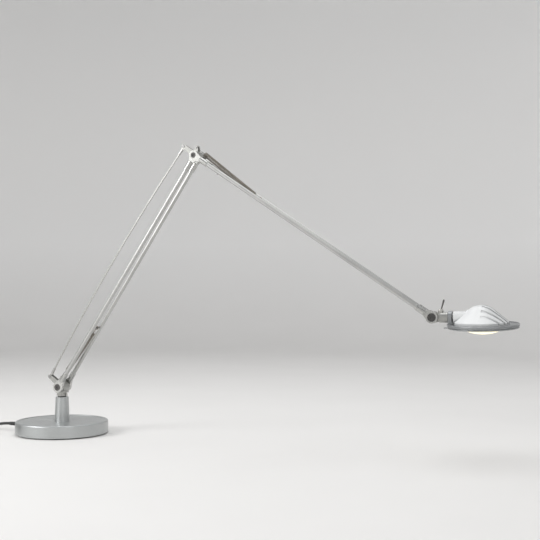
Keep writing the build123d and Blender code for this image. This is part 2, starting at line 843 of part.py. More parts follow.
def pull_end(frame, loop_x, loop_radius, plug_from, plug_to):
    """A wire loop on a shank that ends in the plug screwed into a spring's end."""
    shank = 1 if plug_from > loop_x else -1
    with BuildPart() as piece:
        with BuildSketch(frame):
            with Locations((loop_x, 0)):
                Circle(loop_radius + pull_wire_radius)
                Circle(loop_radius - pull_wire_radius, mode=Mode.SUBTRACT)
        extrude(amount=pull_wire_radius, both=True)
        shank_start = at(frame, loop_x + shank * loop_radius, 0)
        with BuildSketch(Plane(origin=shank_start, z_dir=frame.x_dir * shank)):
            Circle(pull_wire_radius)
        extrude(amount=abs(plug_from - loop_x) - loop_radius)
        with BuildSketch(Plane(origin=at(frame, plug_from, 0), z_dir=frame.x_dir * shank)):
            Circle(spring_radius - spring_wire / 2 - plug_gap)
        extrude(amount=abs(plug_to - plug_from))
    return piece


def spring_set(lever_pin, anchor):
    """The coil, the pull rod on the lever's pin and the plug that hooks on the anchor pin."""
    frame, run = spring_frame(lever_pin, anchor)
    start, stop = spring_tail, run - spring_lead
    coil = coil_spring(frame, start, stop)
    hook = pull_end(frame, 0, anchor_pin_radius + running_gap + pull_wire_radius, start - 1, start + plug_length)
    pull = pull_end(frame, run, pull_loop_radius, stop + 1, stop - plug_length)
    return coil, hook, pull


lower_spring, lower_spring_hook, lower_pull_rod = spring_set(
    at(hub_level, 0, hub_spring_lever), at(lower, lower_anchor, 0)
)
upper_spring, upper_spring_hook, upper_pull_rod = spring_set(
    at(elbow_level, 0, elbow_spring_lever), at(upper, upper_anchor, 0)
)

# ================================================================ head knuckle and switch
head_axle_half = head_inner + head_eye_width - recess_depth + side_gap
wrist_level = Plane(origin=wrist, x_dir=head.x_dir, z_dir=(0, -1, 0))
collar_near_face = neck_end + side_gap
collar_far_face = collar_near_face + collar_thickness
clip_face = collar_far_face + side_gap
neck_tube = Plane(origin=wrist, z_dir=head.x_dir)
switch_base = Vector(*at(wrist_level, switch_distance, neck_outer_radius))
switch_plane = Plane(origin=switch_base, x_dir=head.x_dir, z_dir=wrist_level.y_dir)

with BuildPart() as head_knuckle:
    with BuildSketch(wrist_level):
        Circle(head_body_radius)
        with Locations(((neck_start + cheek_overlap) / 2, 0)):
            Rectangle(neck_start + cheek_overlap, cheek_height)
    extrude(amount=head_half_width, both=True)
    with BuildSketch(neck_tube.offset(neck_start)):
        Circle(neck_outer_radius)
    extrude(amount=neck_end - neck_start)
    chamfer(head_knuckle.edges().filter_by(GeomType.CIRCLE).sort_by(Axis(wrist, head.x_dir))[-1], neck_bevel)
    with BuildSketch(neck_tube.offset(neck_end)):
        Circle(roll_spigot_radius)
    extrude(amount=clip_face + roll_clip_thickness + spigot_end - neck_end)
    with BuildSketch(wrist_level):
        Circle(head_axle_radius + seat_gap)
    extrude(amount=head_half_width, both=True, mode=Mode.SUBTRACT)
    with BuildSketch(switch_plane.offset(-switch_seat)):
        Circle(switch_flat_radius)
    extrude(amount=switch_seat + neck_outer_radius, mode=Mode.SUBTRACT)
    with BuildSketch(switch_plane.offset(-switch_seat)):
        Circle(switch_bush_radius + seat_gap)
    extrude(amount=-switch_bush_depth, mode=Mode.SUBTRACT)

with BuildPart() as roll_clip:
    with BuildSketch(neck_tube.offset(clip_face)):
        Circle(roll_clip_radius)
        Circle(roll_spigot_radius + seat_gap, mode=Mode.SUBTRACT)
    extrude(amount=roll_clip_thickness)

head_axle = axle(wrist_level, head_axle_radius, head_axle_half)
head_cap_screws = cap_screws(wrist_level, head_recess_radius - side_gap, head_axle_half)

with BuildPart() as switch_bush:
    with BuildSketch(switch_plane.offset(-switch_seat - switch_bush_depth)):
        Circle(switch_bush_radius)
    extrude(amount=switch_seat + switch_bush_depth + switch_bush_rise)
    with BuildSketch(switch_plane.offset(-switch_seat)):
        RegularPolygon(switch_nut_flats / 2, 6, major_radius=False)
    extrude(amount=switch_nut_height + switch_seat)
    with BuildSketch(switch_plane.offset(switch_bush_rise)):
        Circle(switch_mouth_radius)
    extrude(amount=-switch_bush_rise - switch_seat, taper=switch_mouth_taper, mode=Mode.SUBTRACT)

toggle_pivot = at(wrist_level, switch_distance, neck_outer_radius - switch_seat + side_gap + toggle_ball_radius)
toggle_plane = sloped(toggle_pivot, 90 - switch_tilt)
toggle_neck = sqrt(toggle_ball_radius**2 - toggle_root_radius**2)
with BuildPart() as switch_toggle:
    with BuildSketch(toggle_plane):
        with BuildLine():
            ThreePointArc(
                (-toggle_ball_radius, 0), (0, toggle_ball_radius), (toggle_neck, toggle_root_radius),
            )
            Line((toggle_neck, toggle_root_radius), (toggle_length - toggle_tip_radius, toggle_tip_radius))
            ThreePointArc(
                (toggle_length - toggle_tip_radius, toggle_tip_radius),
                (toggle_length - toggle_tip_radius * (1 - sin(pi / 4)), toggle_tip_radius * cos(pi / 4)),
                (toggle_length, 0),
            )
            Line((toggle_length, 0), (-toggle_ball_radius, 0))
        make_face()
    revolve(axis=Axis(toggle_pivot, toggle_plane.x_dir))

# ================================================================ head
plate_under = plate_top - plate_deck
gap_under = plate_under - shadow_gap_height
frame_under = gap_under - frame_height


def head_point(x, z):
    """A point of the head's middle plane, x ahead of the wrist and z above it."""
    return head_side.from_local_coords(Vector(x, z, 0))


def turned(outline, centre=plate_centre):
    """A disc or bowl about an upright axis of the head, from points (radius, height)."""
    with BuildPart() as body:
        with BuildSketch(head_side):
            with BuildLine():
                Polyline(*((centre + radius, height) for radius, height in outline), close=True)
            make_face()
        revolve(axis=Axis(head_point(centre, 0), head.z_dir))
    return body.part


optic_axis = Axis(head_point(plate_centre, 0), head.z_dir)
rim_top = plate_top + rim_rise

with BuildPart() as head_plate:
    add(turned([
        (0, plate_under),
        (plate_radius - rim_bevel, plate_under),
        (plate_radius, plate_under + rim_bevel),
        (plate_radius, rim_top - rim_bevel),
        (plate_radius - rim_bevel, rim_top),
        (plate_radius - rim_width + rim_bevel, rim_top),
        (plate_radius - rim_width, plate_top),
        (0, plate_top),
    ]))
    with BuildSketch(head.offset(gap_under)):
        with Locations((plate_centre, 0)):
            Circle(plate_radius - shadow_gap_depth)
    extrude(amount=shadow_gap_height)
    with BuildSketch(neck_tube.offset(collar_near_face)):
        Circle(collar_radius)
    extrude(amount=collar_thickness)
    with BuildSketch(head_side):
        with Locations(((collar_near_face + collar_far_face) / 2, plate_under / 2)):
            Rectangle(collar_thickness, -plate_under)
    extrude(amount=collar_radius, both=True)
    with BuildSketch(neck_tube.offset(collar_near_face)):
        Circle(roll_spigot_radius + running_gap)
    extrude(amount=collar_thickness, mode=Mode.SUBTRACT)
    with BuildSketch(head.offset(gap_under)):
        with Locations((plate_centre, 0)):
            Circle(window_radius + 2 * reflector_wall)
    extrude(amount=plate_deck + shadow_gap_height, mode=Mode.SUBTRACT)

with BuildPart() as lens_frame:
    add(turned([
        (0, frame_under),
        (plate_radius - 2 * frame_bevel, frame_under),
        (plate_radius - frame_bevel / 2, frame_under + frame_bevel),
        (plate_radius - frame_bevel / 2, gap_under - rim_bevel),
        (plate_radius - frame_bevel / 2 - rim_bevel, gap_under),
        (0, gap_under),
    ]))
    with BuildSketch(head.offset(frame_under)):
        with Locations((plate_centre, 0)):
            Circle(window_radius - lens_flange)
    extrude(amount=frame_height, mode=Mode.SUBTRACT)
    with BuildSketch(head.offset(gap_under)):
        with Locations((plate_centre, 0)):
            Circle(window_radius)
    extrude(amount=-frame_height / 2, mode=Mode.SUBTRACT)
    with BuildSketch(head.offset(frame_under)):
        with Locations((plate_centre - plate_radius, 0)):
            RectangleRounded(2 * tab_reach, tab_width, tab_corner)
    extrude(amount=tab_thickness)


def dome(inset, setback=0.0):
    """A solid dome of the cover's outline, inset from its skin and set back towards the neck."""
    centre = plate_centre - setback
    crown = dome_crown_radius - inset
    crown_z = plate_top + dome_height - dome_crown_radius
    skirt_x = dome_foot_radius - inset
    skirt_z = plate_top + dome_skirt
    run = hypot(skirt_x, crown_z - skirt_z)
    lean = acos(crown / run) - atan2(crown_z - skirt_z, skirt_x)
    half_lean = (pi / 2 + lean) / 2
    crown_foot = (centre + crown * cos(lean), crown_z + crown * sin(lean))
    with BuildPart() as body:
        with BuildSketch(head_side):
            with BuildLine():
                ThreePointArc(
                    (centre, crown_z + crown),
                    (centre + crown * cos(half_lean), crown_z + crown * sin(half_lean)),
                    crown_foot,
                )
                Polyline(
                    crown_foot,
                    (centre + skirt_x, skirt_z),
                    (centre + skirt_x, plate_top),
                    (centre, plate_top),
                    (centre, crown_z + crown),
                )
            make_face()
        revolve(axis=Axis(head_point(centre, 0), head.z_dir))
    return body.part


with BuildPart() as cover_hollow:
    add(dome(dome_wall))
    add(dome(fin_root + dome_wall, fin_setback), mode=Mode.INTERSECT)

with BuildPart() as head_cover:
    add(dome(0))
    for gap in range(fin_gap_count):
        across = (gap - (fin_gap_count - 1) / 2) * fin_pitch
        with BuildSketch(head_side.offset(across)):
            with Locations((plate_centre + dome_foot_radius / 2, plate_top + fin_foot + dome_height / 2)):
                Rectangle(dome_foot_radius, dome_height)
        extrude(amount=fin_gap / 2, both=True, mode=Mode.SUBTRACT)
    add(dome(fin_root, fin_setback))
    with BuildSketch(neck_tube.offset(tunnel_start)):
        Circle(tunnel_radius)
    extrude(amount=plate_centre - tunnel_start)
    with BuildSketch(head.offset(plate_top - 2 * tunnel_radius)):
        with Locations((plate_centre - dome_foot_radius, 0)):
            Rectangle(2 * dome_foot_radius, 4 * tunnel_radius)
    extrude(amount=2 * tunnel_radius, mode=Mode.SUBTRACT)
    with BuildSketch(head.offset(tunnel_top)):
        with Locations((tunnel_start, 0)):
            Rectangle(2 * (plate_centre - tunnel_start - dome_crown_radius), 3 * tunnel_radius)
    extrude(amount=tunnel_radius, mode=Mode.SUBTRACT)
    add(cover_hollow.part, mode=Mode.SUBTRACT)
    with BuildSketch(neck_tube.offset(tunnel_start)):
        Circle(tunnel_bore_radius)
    extrude(amount=plate_centre - tunnel_start - dome_crown_radius, mode=Mode.SUBTRACT)

lens_seat_z = gap_under - frame_height / 2
lens_body_radius = window_radius - lens_flange - seat_gap
lens_bottom = frame_under - lens_side - lens_crown


def lens_skin(radius, bottom, crown, top):
    """A low drum about the optic axis with a shallow domed bottom."""
    arch = (crown**2 + radius**2) / (2 * crown)
    half = asin(radius / arch) / 2
    with BuildPart() as body:
        with BuildSketch(head_side):
            with BuildLine():
                Polyline(
                    (plate_centre, bottom), (plate_centre, top), (plate_centre + radius, top),
                    (plate_centre + radius, bottom + crown),
                )
                ThreePointArc(
                    (plate_centre + radius, bottom + crown),
                    (plate_centre + arch * sin(half), bottom + arch * (1 - cos(half))),
                    (plate_centre, bottom),
                )
            make_face()
        revolve(axis=optic_axis)
    return body.part


with BuildPart() as lens:
    add(lens_skin(lens_body_radius, lens_bottom, lens_crown, lens_seat_z + lens_flange))
    with BuildSketch(head.offset(lens_seat_z)):
        with Locations((plate_centre, 0)):
            Circle(window_radius - seat_gap)
    extrude(amount=frame_height / 2)
    add(
        lens_skin(
            lens_body_radius - lens_glass, lens_bottom + lens_glass, lens_crown - lens_glass / 2,
            lens_seat_z + lens_flange,
        ),
        mode=Mode.SUBTRACT,
    )

reflector_foot = gap_under
reflector_top = reflector_foot + reflector_height


def bowl(inset):
    """The reflector's outline as stepped cones about the optic axis."""
    foot = window_radius - seat_gap - inset
    top = reflector_top_radius - inset
    outline = [(0, reflector_foot)]
    for step in range(reflector_steps + 1):
        turn = pi / 2 * step / reflector_steps
        outline.append((top + (foot - top) * cos(turn), reflector_foot + reflector_height * sin(turn)))
    return turned(outline + [(0, reflector_top)])


with BuildPart() as reflector:
    add(bowl(0))
    add(bowl(reflector_wall), mode=Mode.SUBTRACT)

bulb_top = reflector_top - side_gap
with BuildPart() as bulb:
    with BuildSketch(head.offset(bulb_top - bulb_length)):
        with Locations((plate_centre, 0)):
            Circle(bulb_radius)
    extrude(amount=bulb_length)
    fillet(bulb.edges().group_by(Axis(head.origin, head.z_dir))[0], bulb_round)
    with BuildSketch(head.offset(bulb_top)):
        with Locations((plate_centre, 0)):
            with GridLocations(bulb_pin_spacing, 0, 2, 1):
                Circle(bulb_pin_radius)
    extrude(amount=bulb_pin_length)

with BuildPart() as lamp_holder:
    with BuildSketch(head.offset(bulb_top)):
        with Locations((plate_centre, 0)):
            Circle(reflector_top_radius - reflector_wall - seat_gap)
    extrude(amount=reflector_top - bulb_top)
    with BuildSketch(head.offset(reflector_top)):
        with Locations((plate_centre, 0)):
            Circle(reflector_top_radius)
    extrude(amount=holder_height)
    with BuildSketch(head.offset(bulb_top)):
        with Locations((plate_centre, 0)):
            with GridLocations(bulb_pin_spacing, 0, 2, 1):
                Circle(bulb_pin_radius + seat_gap)
    extrude(amount=bulb_pin_length + seat_gap, mode=Mode.SUBTRACT)

# ================================================================ cord
relief_inner = base_radius - base_wall - wall_play
with BuildPart() as strain_relief:
    with BuildSketch(Plane.XZ):
        with BuildLine():
            Polyline(
                (-relief_inner + relief_flange_thickness, cord_exit_height),
                (-relief_inner + relief_flange_thickness, cord_exit_height + relief_flange_radius),
                (-relief_inner, cord_exit_height + relief_flange_radius),
                (-relief_inner, cord_exit_height + relief_radius),
                (-base_radius, cord_exit_height + relief_radius),
                (-base_radius - relief_length, cord_exit_height + relief_tip_radius),
                (-base_radius - relief_length, cord_exit_height),
                close=True,
            )
        make_face()
        for groove in range(relief_groove_count):
            place = base_radius + relief_length * (groove + 1) / (relief_groove_count + 1.5)
            taper = (relief_radius - relief_tip_radius) * (place - base_radius) / relief_length
            with Locations((-place, cord_exit_height + relief_radius - taper)):
                Rectangle(relief_length / (3 * relief_groove_count), 2 * relief_groove_depth, mode=Mode.SUBTRACT)
    revolve(axis=Axis((0, 0, cord_exit_height), (1, 0, 0)))


def free_cord(route, name):
    """A round tube along straight runs joined by arcs as wide as the runs allow."""
    points = [Vector(*point) for point in route]
    radii = []
    for before, corner, after in zip(points, points[1:], points[2:]):
        first, last = corner - before, after - corner
        half_turn = radians(first.get_angle(last)) / 2
        radii.append(0.45 * min(first.length, last.length) / tan(half_turn))
    with BuildPart() as tube:
        with BuildLine() as path:
            FilletPolyline(*points, radius=radii)
        with BuildSketch(Plane(origin=points[0], z_dir=points[1] - points[0])):
            Circle(cord_radius)
        sweep(clean=False)
    length = path.wire().length
    print(name, "length", round(length, 1), "radii", [round(radius, 1) for radius in radii])
    print(name, "volume over section times length", tube.part.volume / (pi * cord_radius**2 * length))
    return tube


def coil_point(turn):
    """The coil's middle line after a number of turns: in and out again, a layer higher each time."""
    per_layer = coil_turns / coil_layers
    layer = min(int(turn / per_layer), coil_layers - 1)
    share = turn / per_layer - layer
    span = coil_step * per_layer
    outward = share if layer % 2 else 1 - share
    radius = coil_outer_radius - span * (1 - outward)
    height = layer * coil_layer_rise
    for reversal in range(1, coil_layers):
        climb = (turn - reversal * per_layer) * 2 + 0.5
        if 0 < climb < 1:
            height = (reversal - 1 + climb * climb * (3 - 2 * climb)) * coil_layer_rise
    swing = pi / 2 + 2 * pi * turn
    return Vector(
        coil_centre[0] + radius * cos(swing), coil_centre[1] + radius * sin(swing), cord_rest_height + height,
    )


def wound_cord():
    """The put-away length as one tube in four layers of loops, with a straight diameter at each end."""
    step = 1 / 400
    quarters = int(coil_turns * 4)
    points = [coil_point(quarter / 4) for quarter in range(quarters + 1)]
    tangents = []
    for quarter in range(quarters + 1):
        turn = quarter / 4
        back, ahead = max(turn - step, 0), min(turn + step, coil_turns)
        tangents.append((coil_point(ahead) - coil_point(back)).normalized())
    tangents[0], tangents[-1] = Vector(-1, 0, 0), Vector(1, 0, 0)
    tail = 2 * cord_radius
    with BuildLine() as path:
        Line(points[0] - tangents[0] * tail, points[0])
        add(biarcs(points, tangents))
        Line(points[-1], points[-1] + tangents[-1] * tail)
    print("coil length", round(path.wire().length, 1))
    section = cord_sides / 2 * sin(2 * pi / cord_sides) * cord_radius**2
    tube = tube_along(path.wire(), points[0] - tangents[0] * tail, tangents[0], cord_radius, cord_sides)
    print("coil volume over section times length", tube.part.volume / (section * path.wire().length))
    return tube


def least_gap(points, apart, thickness):
    """The least distance between points of one line that are further apart along it, less its thickness."""
    return min(
        (first - last).length - thickness
        for place, first in enumerate(points)
        for last in points[place + apart:]
    )


power_cord = free_cord(cord_route, "power cord")
plug_lead = free_cord(plug_route, "plug lead")
cord_coil = wound_cord()
per_turn = 24
coil_samples = [coil_point(place / per_turn) for place in range(int(coil_turns * per_turn) + 1)]
print("coil least gap", round(least_gap(coil_samples, per_turn // 2, 2 * cord_radius), 2))
for label, (frame, run) in (
    ("lower spring", spring_frame(at(hub_level, 0, hub_spring_lever), at(lower, lower_anchor, 0))),
    ("upper spring", spring_frame(at(elbow_level, 0, elbow_spring_lever), at(upper, upper_anchor, 0))),
):
    rise = (run - spring_lead - spring_tail) / spring_turns
    spring_samples = [
        at(
            frame, rise * place / per_turn, spring_radius * cos(2 * pi * place / per_turn),
            spring_radius * sin(2 * pi * place / per_turn),
        )
        for place in range(3 * per_turn)
    ]
    print(label, "least gap", round(least_gap(spring_samples, per_turn // 2, spring_wire), 2))

plug_axis = Vector(*plug_route[-1])
plug_face = Plane(origin=plug_axis, x_dir=(0, 1, 0), z_dir=(1, 0, 0))
plug_waist = plug_face.offset(plug_neck_length + plug_shoulder)
with BuildPart() as plug_body:
    with BuildSketch(plug_face):
        Circle(plug_neck_radius)
    extrude(amount=plug_neck_length + plug_shoulder)
    chamfer(plug_body.edges().group_by(Axis.X)[0], plug_neck_radius - relief_tip_radius)
    with BuildSketch(plug_waist):
        SlotOverall(plug_width, plug_thickness)
    extrude(amount=-plug_shoulder, taper=plug_taper)
    with BuildSketch(plug_waist):
        SlotOverall(plug_width, plug_thickness)
    extrude(amount=plug_length_over - plug_neck_length - plug_shoulder)
    chamfer(plug_body.edges().group_by(Axis.X)[-1], plug_bevel)
    with BuildSketch(plug_face.offset(plug_length_over)):
        with GridLocations(plug_pin_spacing, 0, 2, 1):
            Circle(plug_pin_radius + seat_gap)
    extrude(amount=-plug_seat, mode=Mode.SUBTRACT)

with BuildPart() as plug_pins:
    with BuildSketch(plug_face.offset(plug_length_over - plug_seat)):
        with GridLocations(plug_pin_spacing, 0, 2, 1):
            Circle(plug_pin_radius)
    extrude(amount=plug_seat + plug_pin_length)
    chamfer(plug_pins.edges().group_by(Axis.X)[-1], plug_pin_radius / 2)

pieces = {
    "base_shell": base_shell,
    "base_plate": base_plate,
    "foot_pad": foot_pad,
    "base_weight": base_weight,
    "transformer": transformer,
    "base_screws": base_screws,
    "stem": stem,
    "stem_nut": stem_nut,
    "swivel_bush": swivel_bush,
    "stop_pin": stop_pin,
    "swivel_head": swivel_head,
    "swivel_clip": swivel_clip,
    "hub_axle": hub_axle,
    "hub_cap_screws": hub_cap_screws,
    "base_lever_pins": base_lever_pins,
    "lower_hub_end_near": lower_ends["hub", near],
    "lower_hub_end_far": lower_ends["hub", far],
    "lower_elbow_end_near": lower_ends["elbow", near],
    "lower_elbow_end_far": lower_ends["elbow", far],
    "lower_tube_near": lower_tubes[near],
    "lower_tube_far": lower_tubes[far],
    "lower_anchor_pin": lower_anchor_pin,
    "tie_rod": tie_rod,
    "tie_rod_ends": tie_rod_ends,
    "elbow_crank": elbow_crank,
    "elbow_axle": elbow_axle,
    "elbow_cap_screws": elbow_cap_screws,
    "elbow_lever_pins": elbow_lever_pins,
    "upper_elbow_end_near": upper_ends["elbow", near],
    "upper_elbow_end_far": upper_ends["elbow", far],
    "upper_head_end_near": upper_ends["head", near],
    "upper_head_end_far": upper_ends["head", far],
    "upper_tube_near": upper_tubes[near],
    "upper_tube_far": upper_tubes[far],
    "upper_anchor_pin": upper_anchor_pin,
    "lower_spring": lower_spring,
    "lower_spring_hook": lower_spring_hook,
    "lower_pull_rod": lower_pull_rod,
    "upper_spring": upper_spring,
    "upper_spring_hook": upper_spring_hook,
    "upper_pull_rod": upper_pull_rod,
    "head_knuckle": head_knuckle,
    "roll_clip": roll_clip,
    "head_axle": head_axle,
    "head_cap_screws": head_cap_screws,
    "switch_bush": switch_bush,
    "switch_toggle": switch_toggle,
    "head_plate": head_plate,
    "lens_frame": lens_frame,
    "head_cover": head_cover,
    "lens": lens,
    "reflector": reflector,
    "bulb": bulb,
    "lamp_holder": lamp_holder,
    "strain_relief": strain_relief,
    "power_cord": power_cord,
    "cord_coil": cord_coil,
    "plug_lead": plug_lead,
    "plug_body": plug_body,
    "plug_pins": plug_pins,
}
os.makedirs("parts", exist_ok=True)
for name, piece in pieces.items():
    piece.part.label = name
    export_step(piece.part, f"parts/{name}.step")
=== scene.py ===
import json
from math import cos, pi, radians, sin

import bmesh
import bpy
from mathutils import Matrix, Vector


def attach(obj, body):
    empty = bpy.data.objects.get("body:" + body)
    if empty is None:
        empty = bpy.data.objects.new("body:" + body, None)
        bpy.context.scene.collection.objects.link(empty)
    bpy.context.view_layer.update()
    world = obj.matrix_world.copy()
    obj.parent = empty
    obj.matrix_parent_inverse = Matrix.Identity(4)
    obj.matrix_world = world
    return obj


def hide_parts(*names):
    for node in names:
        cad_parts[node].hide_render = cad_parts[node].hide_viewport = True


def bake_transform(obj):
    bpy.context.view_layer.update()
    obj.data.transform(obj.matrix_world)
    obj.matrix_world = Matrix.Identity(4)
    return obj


# The looks of a spring-balanced desk lamp, in metres, in the frame of its solids:
# +X from the stem to the lamp head, +Y away from the viewer, +Z up from the table.

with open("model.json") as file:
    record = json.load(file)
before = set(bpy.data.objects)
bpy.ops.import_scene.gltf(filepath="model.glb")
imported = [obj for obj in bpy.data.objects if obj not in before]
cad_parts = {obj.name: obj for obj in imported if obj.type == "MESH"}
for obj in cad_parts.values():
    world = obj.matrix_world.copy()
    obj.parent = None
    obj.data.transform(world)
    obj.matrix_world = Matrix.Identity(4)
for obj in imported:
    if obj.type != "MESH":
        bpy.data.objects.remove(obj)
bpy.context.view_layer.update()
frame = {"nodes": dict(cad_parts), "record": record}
nodes = frame["nodes"]

# ---------------------------------------------------------------- camera
IMAGE_PIXELS = 540
SENSOR_WIDTH = 36.0
FOCAL_PIXELS = 948.97
CLIP_NEAR = 0.05
CLIP_FAR = 50
CAMERA_PLACE = Vector((0.95879, -1.48266, 0.25763))
CAMERA_AZIMUTH = 0.359       # radians, to the left of straight along +Y
CAMERA_RISE = 0.022          # radians above level


def add_camera():
    ahead = Vector((
        -sin(CAMERA_AZIMUTH) * cos(CAMERA_RISE),
        cos(CAMERA_AZIMUTH) * cos(CAMERA_RISE),
        sin(CAMERA_RISE),
    ))
    right = Vector((cos(CAMERA_AZIMUTH), sin(CAMERA_AZIMUTH), 0))
    up = right.cross(ahead)
    lens = bpy.data.cameras.new("camera")
    lens.sensor_width = SENSOR_WIDTH
    lens.lens = FOCAL_PIXELS / IMAGE_PIXELS * SENSOR_WIDTH
    lens.clip_start = CLIP_NEAR
    lens.clip_end = CLIP_FAR
    camera = bpy.data.objects.new("camera", lens)
    turn = Matrix((right, up, -ahead)).transposed().to_4x4()
    camera.matrix_world = Matrix.Translation(CAMERA_PLACE) @ turn
    bpy.context.collection.objects.link(camera)
    bpy.context.scene.camera = camera


# ---------------------------------------------------------------- materials
NOISE_ROUGHNESS = 0.55
EDGE_WEAR_AND_HIGHLIGHT_COSINES = (0.88, 0.99)     # between a face and its rounded edge: fully lightened, not lightened
PAINTED_SHADE_OPENNESS = (0.25, 0.8)     # share of open sky for the painted shade: fully dark, not dark
LENS_CENTRE = (0.7522, 0.0, 0.2172)


class Nodes:
    """A material's node tree, with short calls for the nodes that the surfaces below share."""

    def __init__(self, name):
        self.material = bpy.data.materials.new(name)
        self.material.use_nodes = True
        self.tree = self.material.node_tree
        self.shader = self.tree.nodes["Principled BSDF"]
        self.place = self.add("ShaderNodeTexCoord").outputs["Object"]

    def add(self, kind, inputs=None, **settings):
        node = self.tree.nodes.new(kind)
        for key, value in settings.items():
            setattr(node, key, value)
        for key, value in (inputs or {}).items():
            if isinstance(value, bpy.types.NodeSocket):
                self.tree.links.new(value, node.inputs[key])
            else:
                node.inputs[key].default_value = value
        return node

    def link(self, output, socket):
        self.tree.links.new(output, self.shader.inputs[socket])

    def fix(self, **values):
        """Constants straight on the shader: coat_weight=0.25 sets its Coat Weight."""
        for key, value in values.items():
            self.shader.inputs[key.replace("_", " ").title()].default_value = value

    def noise(self, scale, detail):
        inputs = {"Vector": self.place, "Scale": scale, "Detail": detail, "Roughness": NOISE_ROUGHNESS}
        return self.add("ShaderNodeTexNoise", inputs).outputs["Fac"]

    def spread(self, value, low, high, near=0.3, far=0.7):
        """Low to high while a value goes from near to far."""
        inputs = {"Value": value, "From Min": near, "From Max": far, "To Min": low, "To Max": high}
        return self.add("ShaderNodeMapRange", inputs).outputs["Result"]

    def combine(self, kind, operation, first, second):
        return self.add(kind, {0: first, 1: second}, operation=operation).outputs["Value"]

    def blend(self, share, under, top):
        """A colour laid over another colour, or over another node's colour, where share is 1."""
        mix = self.add("ShaderNodeMix", data_type="RGBA")
        under_socket, top_socket = (socket for socket in mix.inputs if socket.type == "RGBA")
        self.tree.links.new(share, mix.inputs["Factor"])
        if isinstance(under, bpy.types.NodeSocket):
            self.tree.links.new(under, under_socket)
        else:
            under_socket.default_value = (*under, 1)
        top_socket.default_value = (*top, 1)
        return next(socket for socket in mix.outputs if socket.type == "RGBA")

    def edges(self, radius, patchy):
        """1 along sharp edges, broken up by noise; 0 on the faces: partly edges rubbed by handling,
        partly a painted highlight.
        """
        rounded = self.add("ShaderNodeBevel", {"Radius": radius}, samples=6).outputs["Normal"]
        flat = self.add("ShaderNodeNewGeometry").outputs["Normal"]
        same = self.combine("ShaderNodeVectorMath", "DOT_PRODUCT", rounded, flat)
        rubbed_and_highlit = self.spread(same, 1.0, 0.0, *EDGE_WEAR_AND_HIGHLIGHT_COSINES)
        worn = self.spread(self.noise(scale=patchy, detail=3), 0.35, 1.0, near=0.35, far=0.6)
        return self.combine("ShaderNodeMath", "MULTIPLY", rubbed_and_highlit, worn)

    def painted_shade(self, depth):
        """Painted shade: 1 deep in grooves and corners, where less light comes; 0 in the open."""
        sky = self.add("ShaderNodeAmbientOcclusion", {"Distance": depth}, samples=8).outputs["AO"]
        return self.spread(sky, 1.0, 0.0, *PAINTED_SHADE_OPENNESS)

    def bump(self, height, strength, distance, edge=0.0):
        """Fine relief; edge is the radius to which the renderer rounds sharp edges."""
        inputs = {"Height": height, "Strength": strength, "Distance": distance}
        if edge:
            bevel = self.add("ShaderNodeBevel", {"Radius": edge}, samples=4)
            inputs["Normal"] = bevel.outputs["Normal"]
        self.link(self.add("ShaderNodeBump", inputs).outputs["Normal"], "Normal")


def metal(name, colour, dull, roughness, grain, edge=0.0003, worn=None):
    """Bare or painted metal: soft colour drift, brushed roughness and a fine tooled surface."""
    n = Nodes(name)
    drift = n.noise(scale=18, detail=4)
    fine = n.noise(scale=grain, detail=4)
    base = n.blend(n.spread(drift, 0, 1), colour, dull)
    # lighter rubbed edges: partly real wear, partly a painted highlight along the edges
    if worn:
        base = n.blend(n.edges(radius=0.0006, patchy=260), base, worn)
    n.link(base, "Base Color")
    n.link(n.spread(fine, *roughness), "Roughness")
    n.fix(metallic=1.0)
    n.bump(fine, strength=0.06, distance=0.00002, edge=edge)
    return n.material


def moulding(name, colour, worn, roughness, grain, height=0.00005, edge=0.0003, painted_shade=None):
    """Plastic, rubber or ceramic: a fine leathery grain and slight wear in its colour, and painted
    shade in its grooves if a shade colour is given.
    """
    n = Nodes(name)
    fine = n.noise(scale=grain, detail=5)
    patch = n.noise(scale=35, detail=3)
    base = n.blend(n.spread(patch, 0, 1, near=0.35, far=0.75), colour, worn)
    # painted shade: the colour darkens where ambient occlusion finds grooves and corners
    if painted_shade:
        base = n.blend(n.painted_shade(depth=0.007), base, painted_shade)
    n.link(base, "Base Color")
    n.link(n.spread(fine, *roughness), "Roughness")
    n.bump(fine, strength=0.25, distance=height, edge=edge)
    return n.material


def flake_paint(name, colour, dull, roughness, metallic, worn):
    """Silver paint: small metal flakes under a thin clear coat, with slight orange peel."""
    n = Nodes(name)
    flakes = n.add("ShaderNodeTexVoronoi", {"Vector": n.place, "Scale": 2600.0}).outputs["Color"]
    grey = n.add("ShaderNodeSeparateColor", {"Color": flakes}).outputs["Red"]
    base = n.blend(n.spread(grey, 0, 1, near=0, far=1), colour, dull)
    # lighter rubbed edges: partly real wear, partly a painted highlight along the edges
    n.link(n.blend(n.edges(radius=0.0007, patchy=180), base, worn), "Base Color")
    n.link(n.spread(n.noise(scale=60, detail=4), *roughness), "Roughness")
    n.fix(metallic=metallic, coat_weight=0.25, coat_roughness=0.2)
    n.bump(n.noise(scale=420, detail=2), strength=0.1, distance=0.00005, edge=0.0004)
    return n.material


